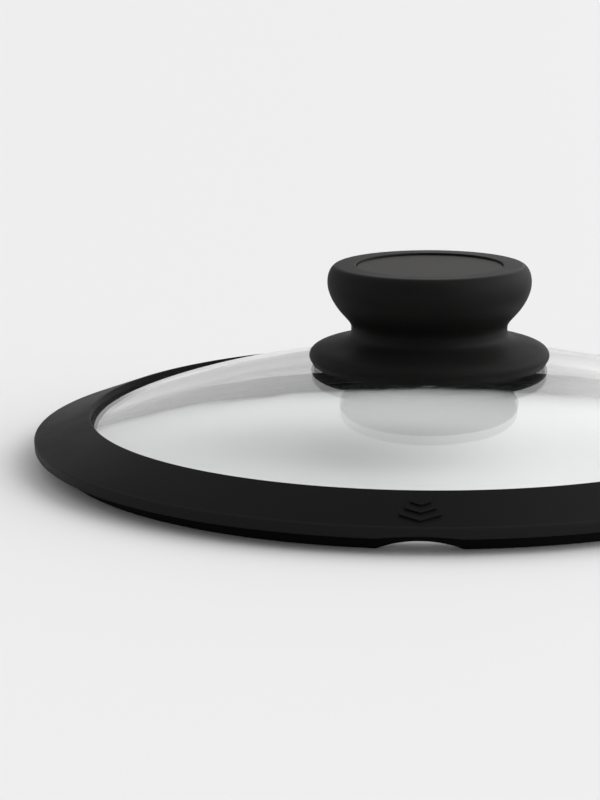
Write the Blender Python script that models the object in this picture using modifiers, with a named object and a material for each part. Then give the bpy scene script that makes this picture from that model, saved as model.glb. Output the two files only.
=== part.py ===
"""Domed glass saucepan lid with a silicone rim and a turned knob.

The lid stands on the skirt of its rim, on z = 0, with its axis on +Z.
The steam notch in the rim faces -Y. Lengths are metres.
"""

import math

import bmesh
import bpy

MM = 0.001
GAP = 0.3 * MM                      # play left between pieces that touch

# Glass: a shell between two spheres of one centre, with a hole for the knob screw.
GLASS_SPHERE = 235.0 * MM
GLASS_APEX = 23.9 * MM
GLASS_THICKNESS = 4.0 * MM
GLASS_RADIUS = 86.5 * MM
GLASS_HOLE_RADIUS = 5.5 * MM
GLASS_EDGE_CHAMFER = 0.6 * MM

# Silicone rim: a lip that rests on the pan, a skirt that goes inside it.
LIP_RADIUS = 95.0 * MM
LIP_INNER_RADIUS = 81.5 * MM
LIP_TOP = 11.1 * MM
LIP_CREASE = 6.1 * MM               # height at which the lip is widest
LIP_BOTTOM = 3.6 * MM
SKIRT_RADIUS = 89.3 * MM
SKIRT_INNER_RADIUS = 86.4 * MM
FLANGE_RADIUS = 82.2 * MM           # inner edge of the flange under the glass
FLANGE_BOTTOM = 2.9 * MM
NOTCH_WIDTH = 19.0 * MM
NOTCH_HEIGHT = 1.9 * MM
LIP_RELIEF_HEIGHT = 0.7 * MM

# Knob: a silicone grip moulded over a stiff core, with a disc let into its top.
# The outside is a smooth curve through these (radius, height) stations.
KNOB_CROWN = (21.9 * MM, 46.2 * MM)     # where the top's flat ring starts to round over
KNOB_FLARE = (24.4 * MM, 42.1 * MM)     # widest line of the flared top
KNOB_MIDDLE = (21.6 * MM, 35.4 * MM)
KNOB_WAIST = (18.7 * MM, 31.1 * MM)
KNOB_SHOULDER = (20.0 * MM, 28.5 * MM)  # where the waist runs out into the base
KNOB_BASE = (28.8 * MM, 24.3 * MM)      # widest line of the base
KNOB_FOOT = (27.9 * MM, 22.4 * MM)
KNOB_TOP = KNOB_CROWN[1]
GRIP_OPENING_RADIUS = 17.6 * MM
CAP_THICKNESS = 1.5 * MM
CAP_DEPTH = 0.5 * MM                # how far the disc lies below the knob's top

CORE_BASE_RADIUS = 24.2 * MM
CORE_BASE_BOTTOM = 24.2 * MM
CORE_BASE_TOP = 25.4 * MM
CORE_NECK_RADIUS = 14.4 * MM
CORE_HEAD_RADIUS = 19.4 * MM
CORE_TOP = KNOB_TOP - CAP_DEPTH - CAP_THICKNESS - GAP

# Fixing: one screw from below, through the glass, into a brass insert.
SCREW_RADIUS = 1.9 * MM
SCREW_TIP = 36.0 * MM
SCREW_HEAD_RADIUS = 4.2 * MM
SCREW_HEAD_HEIGHT = 2.0 * MM
SCREW_RECESS_WIDTH = 1.0 * MM
SCREW_RECESS_LENGTH = 4.4 * MM
SCREW_RECESS_DEPTH = 1.2 * MM
INSERT_RADIUS = 4.0 * MM
INSERT_BORE_RADIUS = SCREW_RADIUS + GAP
INSERT_LENGTH = 13.4 * MM
WASHER_RADIUS = 12.2 * MM
WASHER_FLAT_RADIUS = 10.5 * MM
WASHER_THICKNESS = 0.8 * MM
WASHER_TOP = 17.9 * MM
WASHER_DISH = 1.1 * MM
GASKET_RADIUS = 10.0 * MM
GASKET_THICKNESS = 1.15 * MM
BUSH_FLANGE_RADIUS = 9.0 * MM
BUSH_FLANGE_BOTTOM = GLASS_APEX + GAP
BUSH_FLANGE_THICKNESS = 0.8 * MM
BORE_RADIUS = SCREW_RADIUS + 0.5 * MM

SHARP_ANGLE = math.radians(40)


def clear_scene():
    for obj in list(bpy.data.objects):
        bpy.data.objects.remove(obj, do_unlink=True)


def new_collection(name):
    collection = bpy.data.collections.new(name)
    bpy.context.scene.collection.children.link(collection)
    return collection


def principled(name, colour, roughness, metallic=0.0, transmission=0.0):
    material = bpy.data.materials.new(name)
    material.use_nodes = True
    shader = material.node_tree.nodes["Principled BSDF"]
    shader.inputs["Base Color"].default_value = (*colour, 1.0)
    shader.inputs["Roughness"].default_value = roughness
    shader.inputs["Metallic"].default_value = metallic
    shader.inputs["Transmission Weight"].default_value = transmission
    material.diffuse_color = (*colour, 1.0)
    return material


def new_object(name, mesh, collection, material=None):
    obj = bpy.data.objects.new(name, mesh)
    collection.objects.link(obj)
    if material:
        mesh.materials.append(material)
    return obj


def arc(centre, radius, start, end, count):
    """Points on an arc in the profile plane, angles in degrees from +X."""
    points = []
    for step in range(count + 1):
        angle = math.radians(start + (end - start) * step / count)
        points.append((centre[0] + radius * math.cos(angle), centre[1] + radius * math.sin(angle)))
    return points


def hermite(start, start_slope, end, end_slope, count):
    """Points on a smooth curve between two points with the given end tangents."""
    points = []
    for step in range(count + 1):
        t = step / count
        weights = (2 * t**3 - 3 * t**2 + 1, t**3 - 2 * t**2 + t, 3 * t**2 - 2 * t**3, t**3 - t**2)
        terms = zip(weights, (start, start_slope, end, end_slope))
        points.append(tuple(map(sum, zip(*[(w * p[0], w * p[1]) for w, p in terms]))))
    return points


def turned(name, outline, steps, collection, material, closed=True):
    """Turn an outline of (radius, height) points about +Z.

    The outline runs down its outer side, and starts and ends on the axis if it isn't closed.
    """
    profile = bpy.data.meshes.new(name)
    edges = [(i, i + 1) for i in range(len(outline) - 1)]
    if closed:
        edges.append((len(outline) - 1, 0))
    profile.from_pydata([(r, 0.0, z) for r, z in outline], edges, [])
    obj = new_object(name, profile, collection)
    screw = obj.modifiers.new("turn", "SCREW")
    screw.axis = "Z"
    screw.steps = screw.render_steps = steps
    screw.use_merge_vertices = True
    screw.merge_threshold = 0.00001
    mesh = bpy.data.meshes.new_from_object(obj.evaluated_get(bpy.context.evaluated_depsgraph_get()))
    obj.modifiers.clear()
    obj.data = mesh
    bpy.data.meshes.remove(profile)
    mesh.name = name
    mesh.shade_smooth()
    mesh.set_sharp_from_angle(angle=SHARP_ANGLE)
    mesh.materials.clear()
    mesh.materials.append(material)
    return obj


def cut(obj, cutter):
    """Take a cutter out of an object with a Boolean modifier."""
    cutter.hide_render = True
    cutter.display_type = "WIRE"
    boolean = obj.modifiers.new("cut " + cutter.name, "BOOLEAN")
    boolean.operation = "DIFFERENCE"
    boolean.solver = "EXACT"
    boolean.object = cutter


def rod_along_y(name, radius, length, location, segments, collection):
    """A cylinder cutter that lies along Y, centred on its location."""
    bm = bmesh.new()
    bmesh.ops.create_cone(bm, cap_ends=True, segments=segments, radius1=radius, radius2=radius, depth=length)
    mesh = bpy.data.meshes.new(name)
    bm.to_mesh(mesh)
    bm.free()
    obj = new_object(name, mesh, collection)
    obj.location = location
    obj.rotation_euler = (math.radians(90), 0.0, 0.0)
    return obj


def block(name, size, location, collection):
    bm = bmesh.new()
    bmesh.ops.create_cube(bm, size=1.0)
    bmesh.ops.scale(bm, vec=size, verts=bm.verts)
    mesh = bpy.data.meshes.new(name)
    bm.to_mesh(mesh)
    bm.free()
    obj = new_object(name, mesh, collection)
    obj.location = location
    return obj


def glass_height(radius, depth=0.0):
    """Height of the glass at a radius, at a depth below its upper surface."""
    centre = GLASS_APEX - GLASS_SPHERE
    return centre + math.sqrt((GLASS_SPHERE - depth) ** 2 - radius**2)


def arch_radius(width, height):
    """Radius of the circle whose chord of this width stands this high."""
    return (width**2 / 4 + height**2) / (2 * height)


def make_glass(collection, material):
    stations = 9
    chamfer = GLASS_EDGE_CHAMFER
    reach = GLASS_RADIUS - chamfer - GLASS_HOLE_RADIUS
    radii = [GLASS_HOLE_RADIUS + reach * i / stations for i in range(stations + 1)]
    top = [(r, glass_height(r)) for r in radii]
    bottom = [(r, glass_height(r, GLASS_THICKNESS)) for r in reversed(radii)]
    edge = [
        (GLASS_RADIUS, glass_height(GLASS_RADIUS) - chamfer),
        (GLASS_RADIUS, glass_height(GLASS_RADIUS, GLASS_THICKNESS) + chamfer),
    ]
    return turned("glass_dome", top + edge + bottom, 60, collection, material)


def lip_outline():
    """Upper side of the rim: inner edge, sloping face, crease and flat underside."""
    inner, outer, corner = 0.4 * MM, 0.5 * MM, 0.4 * MM
    slope = math.atan2(LIP_TOP - LIP_CREASE, LIP_RADIUS - LIP_INNER_RADIUS)
    tilt = 90 - math.degrees(slope)
    points = arc((LIP_INNER_RADIUS + inner, LIP_TOP - inner), inner, 180, tilt, 3)
    points += arc((LIP_RADIUS - outer, LIP_CREASE - 0.1 * MM), outer, tilt, 0, 3)
    points += arc((LIP_RADIUS - corner, LIP_BOTTOM + corner), corner, 0, -90, 2)
    return points


def skirt_outline():
    """Lower side of the rim: skirt, foot and the flange that holds the glass from below."""
    fillet, foot = 0.6 * MM, 0.5 * MM
    flange_top = glass_height(FLANGE_RADIUS + GAP, GLASS_THICKNESS) - GAP
    points = arc((SKIRT_RADIUS + fillet, LIP_BOTTOM - fillet), fillet, 90, 180, 2)
    points += arc((SKIRT_RADIUS - foot, foot), foot, 0, -90, 2)
    points += [(SKIRT_INNER_RADIUS, 0.0), (SKIRT_INNER_RADIUS - 0.2 * MM, FLANGE_BOTTOM - 0.8 * MM)]
    points += [(FLANGE_RADIUS + 0.5 * MM, FLANGE_BOTTOM), (FLANGE_RADIUS, FLANGE_BOTTOM + 0.5 * MM)]
    points += [(FLANGE_RADIUS, flange_top - 0.3 * MM), (FLANGE_RADIUS + GAP, flange_top)]
    return points


def channel_outline():
    """Groove of the rim that grips the edge of the glass, outwards below it and back above."""
    floor = GLASS_RADIUS + GAP
    middle = (LIP_INNER_RADIUS + floor) / 2
    points = [(floor, glass_height(floor, GLASS_THICKNESS) - GAP)]
    points += [(floor, glass_height(floor) + GAP), (middle, glass_height(middle) + GAP)]
    points += [(LIP_INNER_RADIUS, glass_height(LIP_INNER_RADIUS) + GAP)]
    return points


def make_rim(collection, cutters, material):
    outline = lip_outline() + skirt_outline() + channel_outline()
    rim = turned("rim_seal", outline, 72, collection, material)
    reach = 20.0 * MM
    radius = arch_radius(NOTCH_WIDTH, NOTCH_HEIGHT)
    place = (0.0, -(LIP_RADIUS - reach / 4), NOTCH_HEIGHT - radius)
    cut(rim, rod_along_y("steam_notch", radius, reach, place, 96, cutters))
    radius = arch_radius(NOTCH_WIDTH, LIP_RELIEF_HEIGHT)
    place = (0.0, -(SKIRT_RADIUS + reach / 2 + 0.2 * MM), LIP_BOTTOM + LIP_RELIEF_HEIGHT - radius)
    cut(rim, rod_along_y("lip_relief", radius, reach, place, 192, cutters))
    return rim


def grip_outer():
    """Outside of the knob from its top ring down to the foot of its base."""
    stations = [
        (KNOB_CROWN, (4.5, 0.0), (0.0, -6.6), 4),
        (KNOB_FLARE, (0.0, -7.2), (-4.5, -5.6), 4),
        (KNOB_MIDDLE, (-4.5, -5.6), (0.0, -4.4), 3),
        (KNOB_WAIST, (0.0, -4.1), (3.6, -2.0), 3),
        (KNOB_SHOULDER, (7.5, -4.1), (0.0, -9.6), 5),
        (KNOB_BASE, (0.0, -2.5), (-0.3, -2.0), 1),
    ]
    points = [KNOB_CROWN]
    for station, (start, leaving, arriving, count) in enumerate(stations):
        end = stations[station + 1][0] if station + 1 < len(stations) else KNOB_FOOT
        slopes = [(r * MM, z * MM) for r, z in (leaving, arriving)]
        points += hermite(start, slopes[0], end, slopes[1], count)[1:]
    return points


def core_outer():
    """Outside of the stiff core, from the edge of its flat top to the edge of its base."""
    return [
        (CORE_HEAD_RADIUS, CORE_TOP),
        (CORE_HEAD_RADIUS, CORE_TOP - 2.6 * MM),
        (CORE_NECK_RADIUS + 1.0 * MM, CORE_TOP - 9.0 * MM),
        (CORE_NECK_RADIUS, CORE_TOP - 13.0 * MM),
        (CORE_NECK_RADIUS, CORE_BASE_TOP + 0.8 * MM),
        (CORE_NECK_RADIUS + 2.0 * MM, CORE_BASE_TOP),
        (CORE_BASE_RADIUS, CORE_BASE_TOP),
        (CORE_BASE_RADIUS, CORE_BASE_BOTTOM),
    ]


def make_grip(collection, material):
    """The silicone skin: its inside follows the core at a gap, its top is open for the disc."""
    seat = CORE_TOP + GAP
    inside = [(r + GAP, z + GAP) for r, z in core_outer()]
    inside[-1] = (CORE_BASE_RADIUS + GAP, KNOB_FOOT[1] + 0.3 * MM)
    outline = [(GRIP_OPENING_RADIUS, seat), (GRIP_OPENING_RADIUS, KNOB_TOP - 0.3 * MM)]
    outline += [(GRIP_OPENING_RADIUS + 0.3 * MM, KNOB_TOP)]
    outline += grip_outer() + inside[::-1]
    return turned("knob_grip", outline, 40, collection, material)


def make_core(collection, material):
    well = BUSH_FLANGE_RADIUS + 0.5 * MM
    well_top = BUSH_FLANGE_BOTTOM + BUSH_FLANGE_THICKNESS + GAP
    bore = INSERT_RADIUS + GAP
    bore_top = well_top + INSERT_LENGTH + GAP
    outline = [(0.0, CORE_TOP)] + core_outer()
    outline += [(well, CORE_BASE_BOTTOM), (well, well_top), (bore, well_top), (bore, bore_top), (0.0, bore_top)]
    return turned("knob_core", outline, 36, collection, material, closed=False)


def make_cap(collection, material):
    radius = GRIP_OPENING_RADIUS - GAP
    top = KNOB_TOP - CAP_DEPTH
    bottom = top - CAP_THICKNESS
    edge = 0.3 * MM
    outline = [(0.0, top), (radius - edge, top), (radius, top - edge), (radius, bottom), (0.0, bottom)]
    return turned("knob_cap", outline, 40, collection, material, closed=False)


def make_insert(collection, material):
    bottom = BUSH_FLANGE_BOTTOM + BUSH_FLANGE_THICKNESS + GAP
    top = bottom + INSERT_LENGTH
    lead = 0.4 * MM
    outline = [
        (INSERT_BORE_RADIUS, top),
        (INSERT_RADIUS - lead, top),
        (INSERT_RADIUS, top - lead),
        (INSERT_RADIUS, bottom),
        (INSERT_BORE_RADIUS, bottom),
    ]
    return turned("threaded_insert", outline, 24, collection, material)


def make_bush(collection, material):
    """Silicone bush: a sleeve in the hole of the glass under a flange that the knob presses on."""
    sleeve = GLASS_HOLE_RADIUS - GAP
    top = BUSH_FLANGE_BOTTOM + BUSH_FLANGE_THICKNESS
    bottom = glass_height(GLASS_HOLE_RADIUS, GLASS_THICKNESS) - 0.1 * MM
    outline = [
        (BORE_RADIUS, top),
        (BUSH_FLANGE_RADIUS, top),
        (BUSH_FLANGE_RADIUS, BUSH_FLANGE_BOTTOM),
        (sleeve, BUSH_FLANGE_BOTTOM),
        (sleeve, bottom),
        (BORE_RADIUS, bottom),
    ]
    return turned("hole_bush", outline, 32, collection, material)


def make_gasket(collection, material):
    """Flat silicone ring between the glass and the steel washer."""
    bottom = WASHER_TOP + GAP
    top = bottom + GASKET_THICKNESS
    outline = [
        (BORE_RADIUS, top),
        (GASKET_RADIUS, top),
        (GASKET_RADIUS, bottom),
        (BORE_RADIUS, bottom),
    ]
    return turned("washer_gasket", outline, 32, collection, material)


def make_washer(collection, material):
    """Dished steel washer whose outer edge turns up round the gasket."""
    hole = SCREW_RADIUS + 0.4 * MM
    bottom = WASHER_TOP - WASHER_THICKNESS
    outline = [
        (hole, WASHER_TOP),
        (WASHER_FLAT_RADIUS, WASHER_TOP),
        (WASHER_RADIUS - 0.5 * MM, WASHER_TOP + WASHER_DISH),
        (WASHER_RADIUS, WASHER_TOP + WASHER_DISH - 0.3 * MM),
        (WASHER_FLAT_RADIUS + 0.5 * MM, bottom),
        (hole, bottom),
    ]
    return turned("dished_washer", outline, 36, collection, material)


def make_screw(collection, cutters, material):
    seat = WASHER_TOP - WASHER_THICKNESS - GAP
    bottom = seat - SCREW_HEAD_HEIGHT
    tip = 0.5 * MM
    outline = [
        (0.0, SCREW_TIP),
        (SCREW_RADIUS - tip, SCREW_TIP),
        (SCREW_RADIUS, SCREW_TIP - tip),
        (SCREW_RADIUS, seat),
        (SCREW_HEAD_RADIUS, seat),
        (SCREW_HEAD_RADIUS, seat - 0.9 * MM),
        (SCREW_HEAD_RADIUS - 0.7 * MM, bottom + 0.7 * MM),
        (SCREW_HEAD_RADIUS - 2.0 * MM, bottom),
        (0.0, bottom),
    ]
    screw = turned("knob_screw", outline, 32, collection, material, closed=False)
    depth = 2 * SCREW_RECESS_DEPTH
    for name, size in (
        ("recess_x", (SCREW_RECESS_LENGTH, SCREW_RECESS_WIDTH, depth)),
        ("recess_y", (SCREW_RECESS_WIDTH, SCREW_RECESS_LENGTH, depth)),
    ):
        cut(screw, block(name, size, (0.0, 0.0, bottom), cutters))
    return screw


def main():
    clear_scene()
    parts = new_collection("glass_lid")
    cutters = new_collection("cutters")
    seal = principled("seal_silicone", (0.022, 0.022, 0.023), 0.42)
    grip = principled("grip_silicone", (0.018, 0.017, 0.018), 0.48)
    clear = principled("clear_silicone", (0.62, 0.62, 0.60), 0.45)
    glass = principled("tempered_glass", (0.90, 0.94, 0.93), 0.02, transmission=1.0)
    nylon = principled("knob_nylon", (0.03, 0.03, 0.032), 0.55)
    cap = principled("cap_plastic", (0.075, 0.073, 0.068), 0.38)
    steel = principled("stainless_steel", (0.62, 0.61, 0.59), 0.26, metallic=1.0)
    brass = principled("brass", (0.72, 0.52, 0.24), 0.32, metallic=1.0)

    make_glass(parts, glass)
    make_rim(parts, cutters, seal)
    make_bush(parts, clear)
    make_gasket(parts, clear)
    make_washer(parts, steel)
    make_grip(parts, grip)
    make_core(parts, nylon)
    make_cap(parts, cap)
    make_insert(parts, brass)
    make_screw(parts, cutters, steel)


main()
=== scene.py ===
"""Domed glass saucepan lid: finished surfaces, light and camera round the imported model.

The lid stands on z = 0 with its axis on +Z and its steam notch towards -Y. Lengths are metres.
"""

import math

import bmesh
import bpy
from mathutils import Matrix, Quaternion, Vector


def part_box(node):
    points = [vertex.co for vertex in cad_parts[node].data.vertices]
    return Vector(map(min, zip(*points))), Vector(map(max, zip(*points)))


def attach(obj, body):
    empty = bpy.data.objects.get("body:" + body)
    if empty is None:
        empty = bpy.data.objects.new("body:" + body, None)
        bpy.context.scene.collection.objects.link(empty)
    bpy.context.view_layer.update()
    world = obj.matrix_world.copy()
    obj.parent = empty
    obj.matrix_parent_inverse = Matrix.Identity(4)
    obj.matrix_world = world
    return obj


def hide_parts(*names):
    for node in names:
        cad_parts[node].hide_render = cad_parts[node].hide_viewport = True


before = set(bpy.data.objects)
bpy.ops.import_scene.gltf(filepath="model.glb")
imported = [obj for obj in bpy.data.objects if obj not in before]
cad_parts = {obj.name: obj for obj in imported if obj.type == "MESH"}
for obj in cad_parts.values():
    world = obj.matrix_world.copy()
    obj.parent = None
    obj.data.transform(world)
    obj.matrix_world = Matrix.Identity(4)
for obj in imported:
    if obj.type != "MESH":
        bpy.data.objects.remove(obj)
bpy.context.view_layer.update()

MM = 0.001
FIT = 0.04 * MM                     # play left between pieces that touch

# Driving sizes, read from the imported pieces.
RIM_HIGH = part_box("rim_seal")[1]
LIP_RADIUS = RIM_HIGH.x
LIP_TOP = RIM_HIGH.z
GLASS_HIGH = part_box("glass_dome")[1]
GLASS_RADIUS = GLASS_HIGH.x
KNOB_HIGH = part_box("knob_grip")[1]
KNOB_TOP = KNOB_HIGH.z
CAP_LOW, CAP_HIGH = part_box("knob_cap")
CORE_LOW, CORE_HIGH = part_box("knob_core")
INSERT_LOW, INSERT_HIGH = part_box("threaded_insert")
BUSH_LOW, BUSH_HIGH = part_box("hole_bush")
GASKET_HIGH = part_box("washer_gasket")[1]
WASHER_LOW, WASHER_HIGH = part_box("dished_washer")
SCREW_LOW, SCREW_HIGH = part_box("knob_screw")

# The glass is a shell between two spheres of one centre.
GLASS_SPHERE = 235.0 * MM
GLASS_THICKNESS = 4.0 * MM
GLASS_HOLE_RADIUS = 5.5 * MM
GLASS_CENTRE = GLASS_HIGH.z - math.sqrt(GLASS_SPHERE**2 - GLASS_HOLE_RADIUS**2)

# The rim's section.
LIP_INNER_RADIUS = 81.5 * MM
LIP_CREASE = 6.1 * MM
LIP_BOTTOM = 3.6 * MM
SKIRT_RADIUS = 89.3 * MM
SKIRT_INNER_RADIUS = 86.4 * MM
FLANGE_RADIUS = 82.2 * MM
FLANGE_BOTTOM = 2.9 * MM
NOTCH_WIDTH = 19.0 * MM
NOTCH_HEIGHT = 1.9 * MM
RELIEF_HEIGHT = 0.7 * MM

# The outside of the knob is a smooth curve through these (radius, height) stations.
KNOB_CROWN = (21.9 * MM, KNOB_TOP)
KNOB_FLARE = (24.4 * MM, 42.1 * MM)
KNOB_MIDDLE = (21.6 * MM, 35.4 * MM)
KNOB_WAIST = (18.7 * MM, 31.1 * MM)
KNOB_SHOULDER = (20.0 * MM, 28.5 * MM)
KNOB_BASE = (KNOB_HIGH.x, 24.3 * MM)
GRIP_OPENING_RADIUS = CAP_HIGH.x + 0.3 * MM
CORE_NECK_RADIUS = 14.4 * MM
CORE_HEAD_RADIUS = 19.4 * MM
CORE_HEAD_EDGE = 2.6 * MM
CORE_HEAD_DEPTH = 12.0 * MM
CORE_BASE_THICKNESS = 1.2 * MM

# The fastening. The bush and the gasket have the same hole.
BUSH_HOLE_RADIUS = 2.0 * MM
BUSH_FLANGE_THICKNESS = 0.8 * MM
INSERT_HOLE_RADIUS = 2.2 * MM
WASHER_HOLE_RADIUS = 2.3 * MM
WASHER_THICKNESS = 0.8 * MM
WASHER_DISH = 1.1 * MM
SCREW_RADIUS = 1.9 * MM
SCREW_PITCH = 0.7 * MM
SCREW_RECESS_WIDTH = 1.0 * MM
SCREW_RECESS_LENGTH = 4.4 * MM
SCREW_RECESS_DEPTH = 1.2 * MM

FULL_TURN = 2 * math.pi
ROUNDING_STEPS = 6
SHARP_ANGLE = math.radians(38)


# ---------------------------------------------------------------- shader maths


class Value:
    """A number carried by a socket. Python's operators on it add Math nodes."""

    def __init__(self, tree, socket):
        self.tree = tree
        self.socket = socket

    def maths(self, operation, first, second):
        node = self.tree.nodes.new("ShaderNodeMath")
        node.operation = operation
        for socket, value in zip(node.inputs, (first, second)):
            plug(self.tree, socket, value)
        return Value(self.tree, node.outputs[0])

    def __add__(self, other):
        return self.maths("ADD", self, other)

    __radd__ = __add__

    def __sub__(self, other):
        return self.maths("SUBTRACT", self, other)

    def __mul__(self, other):
        return self.maths("MULTIPLY", self, other)

    __rmul__ = __mul__


def plug(tree, socket, value):
    """Link a value to a socket, or set the socket to it."""
    if isinstance(value, Value):
        tree.links.new(value.socket, socket)
    else:
        socket.default_value = value


class Finish:
    """A material whose Principled shader is fed by a small tree of nodes."""

    def __init__(self, name, **uniform):
        self.material = bpy.data.materials.new(name)
        self.material.use_nodes = True
        self.tree = self.material.node_tree
        self.shader = self.tree.nodes["Principled BSDF"]
        self.output = self.tree.nodes["Material Output"]
        for socket, value in uniform.items():
            self.shader.inputs[socket.replace("_", " ")].default_value = value

    def node(self, kind, settings=None, sockets=None, output=0):
        """Add a node: its settings first, then the values or links of its sockets."""
        node = self.tree.nodes.new("ShaderNode" + kind)
        for name, value in (settings or {}).items():
            setattr(node, name, value)
        for name, value in (sockets or {}).items():
            plug(self.tree, node.inputs[name], value)
        return Value(self.tree, node.outputs[output])

    def place(self, scale=(1.0, 1.0, 1.0)):
        """Object coordinates, stretched for a pattern that runs one way."""
        coordinates = self.node("TexCoord", output="Object")
        return self.node("Mapping", sockets={"Vector": coordinates, "Scale": scale})

    def noise(self, scale, detail=2.0, where=None):
        sockets = {"Vector": where or self.place(), "Scale": scale, "Detail": detail}
        return self.node("TexNoise", sockets=sockets)

    def radius(self):
        """Distance from the lid's axis."""
        flat = self.place((1.0, 1.0, 0.0))
        return self.node("VectorMath", {"operation": "LENGTH"}, {0: flat}, output="Value")

    def between(self, value, low, high, start=0.0, end=1.0):
        """Carry a value from one range to another along a smooth step."""
        sockets = {"Value": value, "From Min": low, "From Max": high, "To Min": start, "To Max": end}
        return self.node("MapRange", {"interpolation_type": "SMOOTHSTEP"}, sockets)

    def mix(self, share, first, second):
        """Mix two colours."""
        settings = {"data_type": "RGBA", "clamp_factor": True}
        return self.node("Mix", settings, {0: share, 6: opaque(first), 7: opaque(second)}, output=2)

    def bump(self, height, distance, strength, under=None):
        sockets = {"Height": height, "Distance": distance, "Strength": strength}
        if under:
            sockets["Normal"] = under
        return self.node("Bump", sockets=sockets)

    def feed(self, **sockets):
        for name, value in sockets.items():
            plug(self.tree, self.shader.inputs[name.replace("_", " ")], value)
        return self.material


def opaque(colour):
    return colour if isinstance(colour, Value) else (*colour, 1.0)


# ------------------------------------------------------------------- finishes


def moulded_silicone(name, colour, shine, roughness, grain, highlight_radius=None, polished=None):
    """Black silicone with fine mould grain and slow changes of sheen.

    It is painted greyer beyond the edge radius, as a painted highlight on the lip's crease and a painted
    reflection of the floor on its outer edge, and it is smoother above a polished height.
    """
    finish = Finish(name, Specular_IOR_Level=shine)
    cloud = finish.noise(38.0, 3.0)
    fine = finish.noise(2600.0, 2.0)
    body = finish.mix(cloud, colour, tuple(1.3 * c for c in colour))
    # Painted highlight: the crease and outer edge are lightened to stand for the light they catch.
    if highlight_radius:
        edge_highlight = finish.between(finish.radius(), highlight_radius - 0.4 * MM, highlight_radius)
        body = finish.mix(edge_highlight, body, tuple(2.7 * c for c in colour))
    sheen = finish.between(cloud, 0.3, 0.7, roughness - 0.04, roughness + 0.05) + 0.06 * fine
    if polished:
        height = finish.node("SeparateXYZ", sockets={0: finish.place()}, output="Z")
        sheen = sheen - finish.between(height, polished - 0.3 * MM, polished, 0.0, 0.12)
    return finish.feed(
        Base_Color=body,
        Roughness=sheen,
        Normal=finish.bump(fine, grain, 0.6, under=finish.bump(cloud, 0.05 * MM, 0.3)),
    )


def satin_plastic(name, colour, roughness):
    """Moulded disc with the faint rings of its turned mould."""
    finish = Finish(name, Specular_IOR_Level=0.095)
    radius = finish.radius()
    rings = finish.node("TexNoise", {"noise_dimensions": "1D"}, {"W": radius, "Scale": 5200.0, "Detail": 2.0})
    fine = finish.noise(3000.0, 2.0)
    return finish.feed(
        Base_Color=finish.mix(finish.noise(60.0), colour, tuple(1.25 * c for c in colour)),
        Roughness=finish.between(rings, 0.2, 0.8, roughness - 0.04, roughness + 0.05),
        Normal=finish.bump(rings * 0.5 + fine * 0.5, 0.006 * MM, 0.5),
    )


def tempered_glass(name):
    """Clear glass with the slow waves of a pressed sheet. Shadow and diffuse rays go straight through."""
    finish = Finish(name, Transmission_Weight=1.0, IOR=1.5)
    waves = finish.noise(16.0, 1.0)
    ripple = finish.noise(52.0, 1.0)
    wiped = finish.between(finish.noise(30.0, 4.0, finish.place((1.0, 3.0, 1.0))), 0.55, 0.8)
    finish.feed(
        Base_Color=finish.mix(waves, (0.982, 0.99, 0.988), (0.988, 0.994, 0.992)),
        Roughness=wiped * 0.012,
        Normal=finish.bump(ripple, 0.05 * MM, 0.4, under=finish.bump(waves, 0.04 * MM, 0.25)),
    )
    clear = finish.node("BsdfTransparent", sockets={"Color": (0.972, 0.98, 0.978, 1.0)})
    surface = Value(finish.tree, finish.shader.outputs[0])
    for rays in ("Is Diffuse Ray", "Is Shadow Ray"):
        through = finish.node("LightPath", output=rays)
        surface = finish.node("MixShader", sockets={0: through, 1: surface, 2: clear})
    finish.tree.links.new(surface.socket, finish.output.inputs["Surface"])
    return finish.material


def translucent_silicone(name):
    finish = Finish(name, Transmission_Weight=0.35, IOR=1.41, Specular_IOR_Level=0.4)
    cloud = finish.noise(180.0, 2.0)
    return finish.feed(
        Base_Color=finish.mix(cloud, (0.6, 0.6, 0.57), (0.72, 0.72, 0.7)),
        Roughness=finish.between(cloud, 0.3, 0.7, 0.38, 0.5),
        Normal=finish.bump(finish.noise(2400.0), 0.01 * MM, 0.5),
    )


def turned_metal(name, colour, roughness):
    """Metal with the fine rings of a lathe or a press tool, and a few finger marks."""
    finish = Finish(name)
    radius = finish.radius()
    rings = finish.node("TexNoise", {"noise_dimensions": "1D"}, {"W": radius, "Scale": 9000.0, "Detail": 3.0})
    marks = finish.between(finish.noise(140.0, 4.0), 0.5, 0.75)
    return finish.feed(
        Base_Color=finish.mix(marks * 0.4, colour, tuple(0.8 * c for c in colour)),
        Roughness=roughness + 0.12 * rings + 0.08 * marks,
        Metallic=1.0,
        Normal=finish.bump(rings, 0.004 * MM, 0.7),
    )


def moulded_nylon(name):
    finish = Finish(name, Specular_IOR_Level=0.4)
    fine = finish.noise(1800.0, 3.0)
    return finish.feed(
        Base_Color=finish.mix(finish.noise(90.0), (0.024, 0.024, 0.026), (0.036, 0.036, 0.038)),
        Roughness=finish.between(fine, 0.3, 0.7, 0.5, 0.62),
        Normal=finish.bump(fine, 0.02 * MM, 0.6),
    )


# --------------------------------------------------------------- mesh helpers


def glass_height(radius, depth=0.0):
    """Height of the glass at a radius, at a depth below its upper surface."""
    return GLASS_CENTRE + math.sqrt((GLASS_SPHERE - depth) ** 2 - radius**2)


def bow(start, start_slope, end, end_slope, count):
    """Points on a smooth curve between two points with the given end tangents."""
    points = []
    for step in range(count + 1):
        t = step / count
        weights = (2 * t**3 - 3 * t**2 + 1, t**3 - 2 * t**2 + t, 3 * t**2 - 2 * t**3, t**3 - t**2)
        parts = list(zip(weights, (start, start_slope, end, end_slope)))
        points.append((sum(w * p[0] for w, p in parts), sum(w * p[1] for w, p in parts)))
    return points


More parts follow.
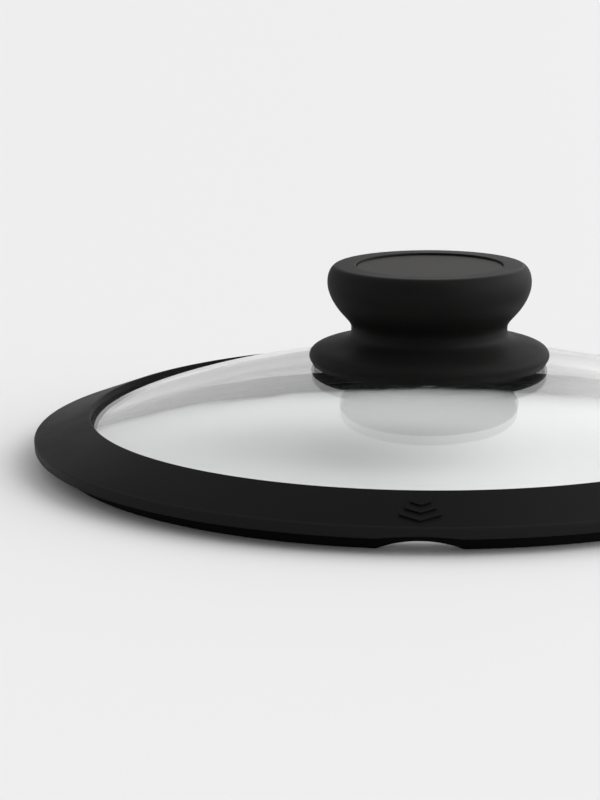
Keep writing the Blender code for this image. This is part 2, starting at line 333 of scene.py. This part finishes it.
def section(bm, corners, closed):
    """Draw a section of (radius, height, rounding) corners at y = 0 and round its corners."""
    verts = [bm.verts.new((corner[0], 0.0, corner[1])) for corner in corners]
    pairs = list(zip(verts, verts[1:]))
    if closed:
        pairs.append((verts[-1], verts[0]))
    for pair in pairs:
        bm.edges.new(pair)
    for vert, corner in zip(verts, corners):
        if len(corner) == 3:
            bmesh.ops.bevel(
                bm, geom=[vert], offset=corner[2], offset_type="OFFSET", segments=ROUNDING_STEPS,
                profile=0.5, affect="VERTICES", material=-1)


def turned(corners, steps, closed=True):
    """Turn a section about +Z. It starts and ends on the axis if it isn't closed."""
    bm = bmesh.new()
    section(bm, corners, closed)
    bmesh.ops.spin(
        bm, geom=bm.verts[:] + bm.edges[:], cent=(0, 0, 0), axis=(0, 0, 1), angle=FULL_TURN,
        steps=steps, use_merge=True, use_duplicate=False)
    bmesh.ops.remove_doubles(bm, verts=bm.verts, dist=0.001 * MM)
    bmesh.ops.recalc_face_normals(bm, faces=bm.faces)
    return bm


def new_object(name, bm):
    mesh = bpy.data.meshes.new(name)
    bm.to_mesh(mesh)
    bm.free()
    obj = bpy.data.objects.new(name, mesh)
    bpy.context.scene.collection.objects.link(obj)
    return obj


def combine(obj, tool, operation):
    """Cut a tool out of an object, or join it on, and remove the tool."""
    boolean = obj.modifiers.new("combine", "BOOLEAN")
    boolean.operation = operation
    boolean.object = tool
    graph = bpy.context.evaluated_depsgraph_get()
    mesh = bpy.data.meshes.new_from_object(obj.evaluated_get(graph))
    obj.modifiers.clear()
    obj.data = mesh
    bpy.data.objects.remove(tool, do_unlink=True)


def finish_piece(obj, body, slot, material, *nodes):
    """Shade a piece, give it its finish and let it stand for its CAD nodes."""
    obj.data.materials.clear()
    obj.data.materials.append(material)
    obj.data.shade_smooth()
    obj.data.set_sharp_from_angle(angle=SHARP_ANGLE)
    weighted = obj.modifiers.new("weighted normals", "WEIGHTED_NORMAL")
    weighted.keep_sharp = True
    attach(obj, body)
    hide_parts(*nodes)
    return obj


def rod_along_y(radius, length, centre, segments):
    """A cylinder that lies along Y."""
    bm = bmesh.new()
    bmesh.ops.create_cone(bm, cap_ends=True, segments=segments, radius1=radius, radius2=radius, depth=length)
    bmesh.ops.rotate(bm, cent=(0, 0, 0), matrix=Matrix.Rotation(math.pi / 2, 3, "X"), verts=bm.verts)
    bmesh.ops.translate(bm, vec=centre, verts=bm.verts)
    return new_object("tool", bm)


def arch_radius(width, height):
    """Radius of the circle whose chord of this width stands this high."""
    return (width**2 / 4 + height**2) / (2 * height)


# --------------------------------------------------------------------- pieces


def glass_disc(material):
    stations = 40
    inner, outer = GLASS_HOLE_RADIUS, GLASS_RADIUS
    radii = [inner + (outer - inner) * i / stations for i in range(stations + 1)]
    top = [(r, glass_height(r)) for r in radii]
    bottom = [(r, glass_height(r, GLASS_THICKNESS)) for r in reversed(radii)]
    for edge in (top, bottom):
        edge[0] = (*edge[0], 0.5 * MM)
        edge[-1] = (*edge[-1], 0.5 * MM)
    disc = new_object("glass_disc", turned(top + bottom, 256))
    return finish_piece(disc, "lid", "tempered_glass", material, "glass_dome")


def rim_section():
    """Corners of the rim: lip, edge, underside, skirt, foot, flange and the groove for the glass."""
    groove = GLASS_RADIUS + FIT
    inner, under = LIP_INNER_RADIUS, FLANGE_RADIUS + 0.3 * MM
    middle = (inner + groove) / 2
    return [
        (inner, LIP_TOP, 0.4 * MM),
        (LIP_RADIUS, LIP_CREASE, 0.45 * MM),
        (LIP_RADIUS - 0.15 * MM, LIP_BOTTOM, 0.45 * MM),
        (SKIRT_RADIUS + 0.1 * MM, LIP_BOTTOM, 0.5 * MM),
        (SKIRT_RADIUS, 0.0, 0.45 * MM),
        (SKIRT_INNER_RADIUS, 0.0, 0.4 * MM),
        (SKIRT_INNER_RADIUS - 0.2 * MM, FLANGE_BOTTOM - 0.8 * MM, 0.3 * MM),
        (FLANGE_RADIUS, FLANGE_BOTTOM, 0.5 * MM),
        (FLANGE_RADIUS, glass_height(under, GLASS_THICKNESS) - 0.35 * MM, 0.15 * MM),
        (under, glass_height(under, GLASS_THICKNESS) - FIT),
        (groove, glass_height(groove, GLASS_THICKNESS) - FIT),
        (groove, glass_height(groove) + FIT),
        (middle, glass_height(middle) + FIT),
        (inner, glass_height(inner) + FIT),
    ]


def extruded(outline, depth):
    """A flat outline of (x, y) corners at z = 0, given a depth upwards."""
    bm = bmesh.new()
    face = bm.faces.new([bm.verts.new((x, y, 0.0)) for x, y in outline])
    made = bmesh.ops.extrude_face_region(bm, geom=[face])["geom"]
    bmesh.ops.translate(bm, vec=(0, 0, depth), verts=[v for v in made if isinstance(v, bmesh.types.BMVert)])
    bmesh.ops.recalc_face_normals(bm, faces=bm.faces)
    return bm


def vent_chevron(reach, half):
    """A raised chevron that points at the notch, this far up the lip's slope from its crease."""
    drop, stroke, relief = half / 2, 1.3 * MM, 0.35 * MM
    outline = [
        (0, 0), (half, drop), (half, drop + stroke),
        (0, stroke), (-half, drop + stroke), (-half, drop),
    ]
    bm = extruded(outline, 2 * relief)
    slope = math.atan2(LIP_TOP - LIP_CREASE, LIP_RADIUS - LIP_INNER_RADIUS)
    bmesh.ops.translate(bm, vec=(0, reach, -relief), verts=bm.verts)
    bmesh.ops.rotate(bm, cent=(0, 0, 0), matrix=Matrix.Rotation(slope, 3, "X"), verts=bm.verts)
    bmesh.ops.translate(bm, vec=(0, -LIP_RADIUS, LIP_CREASE), verts=bm.verts)
    return new_object("tool", bm)


def silicone_rim(material):
    """The turned rim, with its steam notch, the relief in the lip above it and three chevrons."""
    rim = new_object("silicone_rim", turned(rim_section(), 320))
    reach = 20.0 * MM
    radius = arch_radius(NOTCH_WIDTH, NOTCH_HEIGHT)
    centre = (0.0, -(LIP_RADIUS - reach / 4), NOTCH_HEIGHT - radius)
    combine(rim, rod_along_y(radius, reach, centre, 360), "DIFFERENCE")
    radius = arch_radius(NOTCH_WIDTH, RELIEF_HEIGHT)
    centre = (0.0, -(SKIRT_RADIUS + reach / 2 + 0.2 * MM), LIP_BOTTOM + RELIEF_HEIGHT - radius)
    combine(rim, rod_along_y(radius, reach, centre, 720), "DIFFERENCE")
    nearest, spacing = 2.4, 2.9
    widest, taper = 4.4, 1.1
    for row in range(3):
        place, half = (nearest + spacing * row) * MM, (widest - taper * row) * MM
        combine(rim, vent_chevron(place, half), "UNION")
    return finish_piece(rim, "lid", "seal_silicone", material, "rim_seal")


def grip_section():
    """Corners of the knob's skin, from the edge of the disc over the flare and the base to the core."""
    foot = (KNOB_BASE[0] - 0.9 * MM, glass_height(KNOB_BASE[0] - 0.9 * MM) + FIT)
    # Each stretch: its start, the slope it leaves with, the slope it arrives with (in mm) and its steps.
    stations = [
        (KNOB_CROWN, (4.5, 0.0), (0.0, -6.6), 16),
        (KNOB_FLARE, (0.0, -7.2), (-4.5, -5.6), 16),
        (KNOB_MIDDLE, (-4.5, -5.6), (0.0, -4.4), 12),
        (KNOB_WAIST, (0.0, -4.1), (3.6, -2.0), 12),
        (KNOB_SHOULDER, (7.5, -4.1), (0.0, -9.6), 20),
        (KNOB_BASE, (0.0, -2.5), (-0.3, -1.5), 8),
    ]
    outside = [(GRIP_OPENING_RADIUS, KNOB_TOP, 0.3 * MM), KNOB_CROWN]
    for station, (start, leaving, arriving, count) in enumerate(stations):
        end = stations[station + 1][0] if station + 1 < len(stations) else foot
        slopes = [(r * MM, z * MM) for r, z in (leaving, arriving)]
        outside += bow(start, slopes[0], end, slopes[1], count)[1:]
    inside = [
        (CORE_HIGH.x + FIT, foot[1] + 0.4 * MM, 0.3 * MM),
        (CORE_HIGH.x + FIT, CORE_LOW.z + CORE_BASE_THICKNESS + FIT),
        (CORE_NECK_RADIUS + FIT, CORE_LOW.z + CORE_BASE_THICKNESS + FIT, 0.6 * MM),
        (CORE_NECK_RADIUS + FIT, CORE_HIGH.z - CORE_HEAD_DEPTH, 1.5 * MM),
        (CORE_HEAD_RADIUS + FIT, CORE_HIGH.z - CORE_HEAD_EDGE, 0.5 * MM),
        (CORE_HEAD_RADIUS + FIT, CORE_HIGH.z + FIT),
        (GRIP_OPENING_RADIUS, CORE_HIGH.z + FIT),
    ]
    return outside + inside


def knob_skin(material):
    skin = new_object("knob_skin", turned(grip_section(), 256))
    return finish_piece(skin, "knob", "grip_silicone", material, "knob_grip")


def top_disc(material):
    """The disc let into the top of the knob, with a rounded edge."""
    edge, top, bottom = GRIP_OPENING_RADIUS - FIT, CAP_HIGH.z, CAP_LOW.z
    corners = [(0.0, top), (edge, top, 0.25 * MM), (edge, bottom, 0.3 * MM), (0.0, bottom)]
    disc = new_object("top_disc", turned(corners, 192, closed=False))
    return finish_piece(disc, "knob", "cap_plastic", material, "knob_cap")


def stiff_core(material):
    """The core: a head under the disc, a neck, a thin base, a well for the bush and the insert's bore."""
    head, neck, base = CORE_HEAD_RADIUS, CORE_NECK_RADIUS, CORE_HIGH.x
    top, bottom = CORE_HIGH.z, CORE_LOW.z
    well, well_top = BUSH_HIGH.x + 0.5 * MM, INSERT_LOW.z
    bore, bore_top = INSERT_HIGH.x + FIT, INSERT_HIGH.z + FIT
    ledge = bottom + CORE_BASE_THICKNESS
    corners = [
        (0.0, top), (head, top, 0.2 * MM), (head, top - CORE_HEAD_EDGE, 0.5 * MM),
        (neck, top - CORE_HEAD_DEPTH, 1.5 * MM), (neck, ledge, 0.5 * MM),
        (base, ledge, 0.2 * MM), (base, bottom, 0.2 * MM),
        (well, bottom, 0.2 * MM), (well, well_top),
        (bore, well_top, 0.2 * MM), (bore, bore_top), (0.0, bore_top),
    ]
    core = new_object("stiff_core", turned(corners, 128, closed=False))
    return finish_piece(core, "knob", "knob_nylon", material, "knob_core")


def knurled_insert(material):
    """Brass insert with two knurled bands either side of a groove."""
    hole, body = INSERT_HOLE_RADIUS, INSERT_HIGH.x
    low, high = INSERT_LOW.z, INSERT_HIGH.z
    middle, groove = (low + high) / 2, 0.5 * MM
    steps, knurl = 96, 0.25 * MM
    bm = turned([
        (hole, high, 0.2 * MM), (body - 0.4 * MM, high), (body, high - 0.4 * MM),
        (body, middle + 1.2 * MM), (body - groove, middle + 0.8 * MM),
        (body - groove, middle - 0.8 * MM), (body, middle - 1.2 * MM),
        (body, low + 0.4 * MM), (body - 0.4 * MM, low), (hole, low, 0.2 * MM),
    ], steps)
    for vert in bm.verts:
        angle = math.atan2(vert.co.y, vert.co.x)
        column = round(angle / FULL_TURN * steps)
        if math.hypot(vert.co.x, vert.co.y) > body - 0.1 * MM and column % 3 == 0:
            vert.co.x *= 1 - knurl / body
            vert.co.y *= 1 - knurl / body
    insert = new_object("knurled_insert", bm)
    return finish_piece(insert, "knob", "brass", material, "threaded_insert")


def glass_bush(material):
    """Bush through the hole in the glass, with its flange on top."""
    hole = BUSH_HOLE_RADIUS
    sleeve, flange = GLASS_HOLE_RADIUS - FIT, BUSH_HIGH.x
    top, ledge, bottom = BUSH_HIGH.z, BUSH_HIGH.z - BUSH_FLANGE_THICKNESS, BUSH_LOW.z
    bush = new_object("glass_bush", turned([
        (hole, top, 0.15 * MM), (flange, top, 0.3 * MM), (flange, ledge, 0.2 * MM),
        (sleeve, ledge, 0.1 * MM), (sleeve, bottom, 0.3 * MM), (hole, bottom, 0.15 * MM),
    ], 96))
    return finish_piece(bush, "lid", "clear_silicone", material, "hole_bush")


def flat_gasket(material):
    """Flat ring in the washer's dish, against the glass."""
    hole = BUSH_HOLE_RADIUS
    low, high = WASHER_HIGH.z - WASHER_DISH + FIT, GASKET_HIGH.z
    edge = GASKET_HIGH.x
    gasket = new_object("flat_gasket", turned([
        (hole, high, 0.15 * MM), (edge, high, 0.35 * MM), (edge, low, 0.35 * MM), (hole, low, 0.15 * MM),
    ], 128))
    return finish_piece(gasket, "lid", "clear_silicone", material, "washer_gasket")


def steel_washer(material):
    """Pressed washer: flat round the hole, then a turned-up edge round the gasket."""
    hole, edge = WASHER_HOLE_RADIUS, WASHER_HIGH.x
    flat = edge - 1.7 * MM
    low, high = WASHER_LOW.z, WASHER_HIGH.z
    seat = low + WASHER_THICKNESS
    washer = new_object("steel_washer", turned([
        (hole, seat, 0.1 * MM), (flat, seat, 0.5 * MM), (edge - 0.4 * MM, high, 0.12 * MM),
        (edge, high - 0.3 * MM, 0.12 * MM), (flat + 0.6 * MM, low, 0.8 * MM), (hole, low, 0.15 * MM),
    ], 160))
    return finish_piece(washer, "lid", "stainless_steel", material, "dished_washer")


def cross_recess(width, length, depth, floor):
    """A cross whose arms narrow with depth, as a tool that points up into the screw's head."""
    near, far, narrowing = width / 2, length / 2, 0.6
    arm = [(far, -near), (far, near), (near, near)]
    outline = []
    for quarter in range(4):
        turn = Matrix.Rotation(quarter * math.pi / 2, 2)
        outline += [tuple(turn @ Vector(corner)) for corner in arm]
    bm = extruded(outline, 2 * depth)
    for vert in bm.verts:
        if vert.co.z > depth:
            vert.co.x *= narrowing
            vert.co.y *= narrowing
    bmesh.ops.translate(bm, vec=(0, 0, floor - depth), verts=bm.verts)
    return new_object("tool", bm)


def pan_screw(material):
    """Pan-head screw from below: cross recess, plain neck and a ridged shank."""
    head, shank = SCREW_HIGH.x, SCREW_RADIUS
    seat = WASHER_LOW.z - FIT
    bottom, tip = SCREW_LOW.z, SCREW_HIGH.z
    corners = [(0.0, tip), (shank - 0.7 * MM, tip), (shank - 0.1 * MM, tip - 0.7 * MM)]
    height = tip - 1.2 * MM
    while height > BUSH_HIGH.z:
        corners += [(shank, height), (shank - 0.35 * MM, height - SCREW_PITCH / 2)]
        height -= SCREW_PITCH
    corners += [
        (shank - 0.1 * MM, height), (shank - 0.1 * MM, seat), (head, seat, 0.12 * MM),
        (head, seat - 0.7 * MM, 0.3 * MM), (head - 1.1 * MM, bottom + 0.25 * MM, 0.6 * MM), (0.0, bottom),
    ]
    screw = new_object("pan_screw", turned(corners, 96, closed=False))
    recess = cross_recess(SCREW_RECESS_WIDTH, SCREW_RECESS_LENGTH, SCREW_RECESS_DEPTH, bottom)
    combine(screw, recess, "DIFFERENCE")
    return finish_piece(screw, "knob", "stainless_steel", material, "knob_screw")


# ----------------------------------------------------------- light and camera


def studio_floor():
    """A pale board that reaches far past the lid on every side."""
    reach = 12.0
    bm = bmesh.new()
    bmesh.ops.create_grid(bm, x_segments=1, y_segments=1, size=reach)
    floor = new_object("studio_floor", bm)
    finish = Finish("pale_board", Roughness=0.6, Specular_IOR_Level=0.12)
    floor.data.materials.append(finish.feed(Base_Color=(0.8, 0.8, 0.8, 1.0)))


def soft_glow(tree, direction, start, full, strength):
    """Light from a round patch of the room: none outside start, all of it inside full (cosines)."""
    position = tree.nodes.new("ShaderNodeTexCoord")
    towards = tree.nodes.new("ShaderNodeVectorMath")
    towards.operation = "DOT_PRODUCT"
    towards.inputs[1].default_value = Vector(direction).normalized()
    tree.links.new(position.outputs["Generated"], towards.inputs[0])
    glow = tree.nodes.new("ShaderNodeMapRange")
    glow.interpolation_type = "SMOOTHSTEP"
    for name, value in {"From Min": start, "From Max": full, "To Min": 0.0, "To Max": strength}.items():
        glow.inputs[name].default_value = value
    tree.links.new(towards.outputs["Value"], glow.inputs["Value"])
    return Value(tree, glow.outputs["Result"])


def studio_light():
    """A dim room with soft boxes behind and above, and a bright window on the right."""
    world = bpy.data.worlds.new("room")
    bpy.context.scene.world = world
    world.use_nodes = True
    tree = world.node_tree
    # Each box: its direction, the cosines of its edge and of its full middle, and its strength.
    boxes = {
        "ceiling": ((0, 0, 1), 0.5, 1.0, 0.25),
        "high box": ((0.6, -0.15, 1), 0.927, 0.9945, 0.85),
        "wall behind": ((0, 0.9, 0.45), 0.2, 0.9, 0.26),
        "sweep behind": ((0, 1, 0.12), 0.85, 0.98, 0.32),
        "sweep on the right": ((0.5, 0.87, 0.12), 0.85, 0.98, 0.81),
        "sweep on the left": ((-0.5, 0.87, 0.12), 0.85, 0.98, 0.08),
        "box behind on the right": ((0.4, 0.7, 0.6), 0.85, 0.97, 0.87),
        "box behind": ((0, 0.78, 0.62), 0.88, 0.97, 0.136),
        "box behind on the left": ((-0.45, 0.75, 0.5), 0.85, 0.97, 0.25),
        "window on the right": ((1, 0, 0.15), 0.5, 1.0, 3.8),
        "window on the left": ((-1, 0, 0.15), 0.5, 1.0, 1.0),
        "room in front": ((0, -0.75, 0.66), 0.3, 1.0, 0.37),
    }
    total = 0.0
    for box in boxes.values():
        total = soft_glow(tree, *box) + total
    tree.links.new(total.socket, tree.nodes["Background"].inputs["Strength"])
    tree.nodes["Background"].inputs["Color"].default_value = (1.0, 1.0, 1.0, 1.0)


def camera():
    """A long lens a little above the lid, aimed left of the knob and just over the rim."""
    distance = 6.759 * LIP_RADIUS
    elevation = math.radians(13.16)
    azimuth = math.radians(1.07)
    turn_left = math.radians(2.85)
    turn_up = math.radians(1.144)
    lean = math.radians(0.341)
    focal_length, film_width = 119.14, 36.0
    data = bpy.data.cameras.new("camera")
    data.lens = focal_length
    data.sensor_width = film_width
    obj = bpy.data.objects.new("camera", data)
    bpy.context.scene.collection.objects.link(obj)
    bpy.context.scene.camera = obj
    place = Vector((0, -math.cos(elevation), math.sin(elevation))) * distance
    aim = (-place).to_track_quat("-Z", "Y")
    pan = Quaternion((0, 0, 1), turn_left)
    right = pan @ aim @ Vector((1, 0, 0))
    tilt = Quaternion(right, turn_up)
    forward = tilt @ pan @ aim @ Vector((0, 0, -1))
    roll = Quaternion(forward, lean)
    swing = Quaternion((0, 0, 1), azimuth)
    obj.location = swing @ place
    obj.rotation_mode = "QUATERNION"
    obj.rotation_quaternion = swing @ roll @ tilt @ pan @ aim


def main():
    scene = bpy.context.scene
    scene.view_settings.view_transform = "Standard"
    camera()
    studio_floor()
    studio_light()
    # The seal's lip edge gets a painted highlight from the radius given below.
    seal = moulded_silicone(
        "black_seal_silicone", (0.0048, 0.0047, 0.005), shine=0.03, roughness=0.42, grain=0.012 * MM,
        highlight_radius=LIP_RADIUS - 0.3 * MM)
    grip = moulded_silicone(
        "black_grip_silicone", (0.006, 0.0057, 0.0055), shine=0.07, roughness=0.55, grain=0.014 * MM,
        polished=KNOB_TOP - 0.1 * MM)
    clear = translucent_silicone("translucent_silicone")
    steel = turned_metal("turned_steel", (0.62, 0.61, 0.59), 0.2)
    glass_disc(tempered_glass("tempered_glass"))
    silicone_rim(seal)
    knob_skin(grip)
    top_disc(satin_plastic("grey_disc", (0.0105, 0.0096, 0.0076), 0.47))
    stiff_core(moulded_nylon("moulded_nylon"))
    knurled_insert(turned_metal("machined_brass", (0.72, 0.52, 0.24), 0.25))
    glass_bush(clear)
    flat_gasket(clear)
    steel_washer(steel)
    pan_screw(steel)


main()
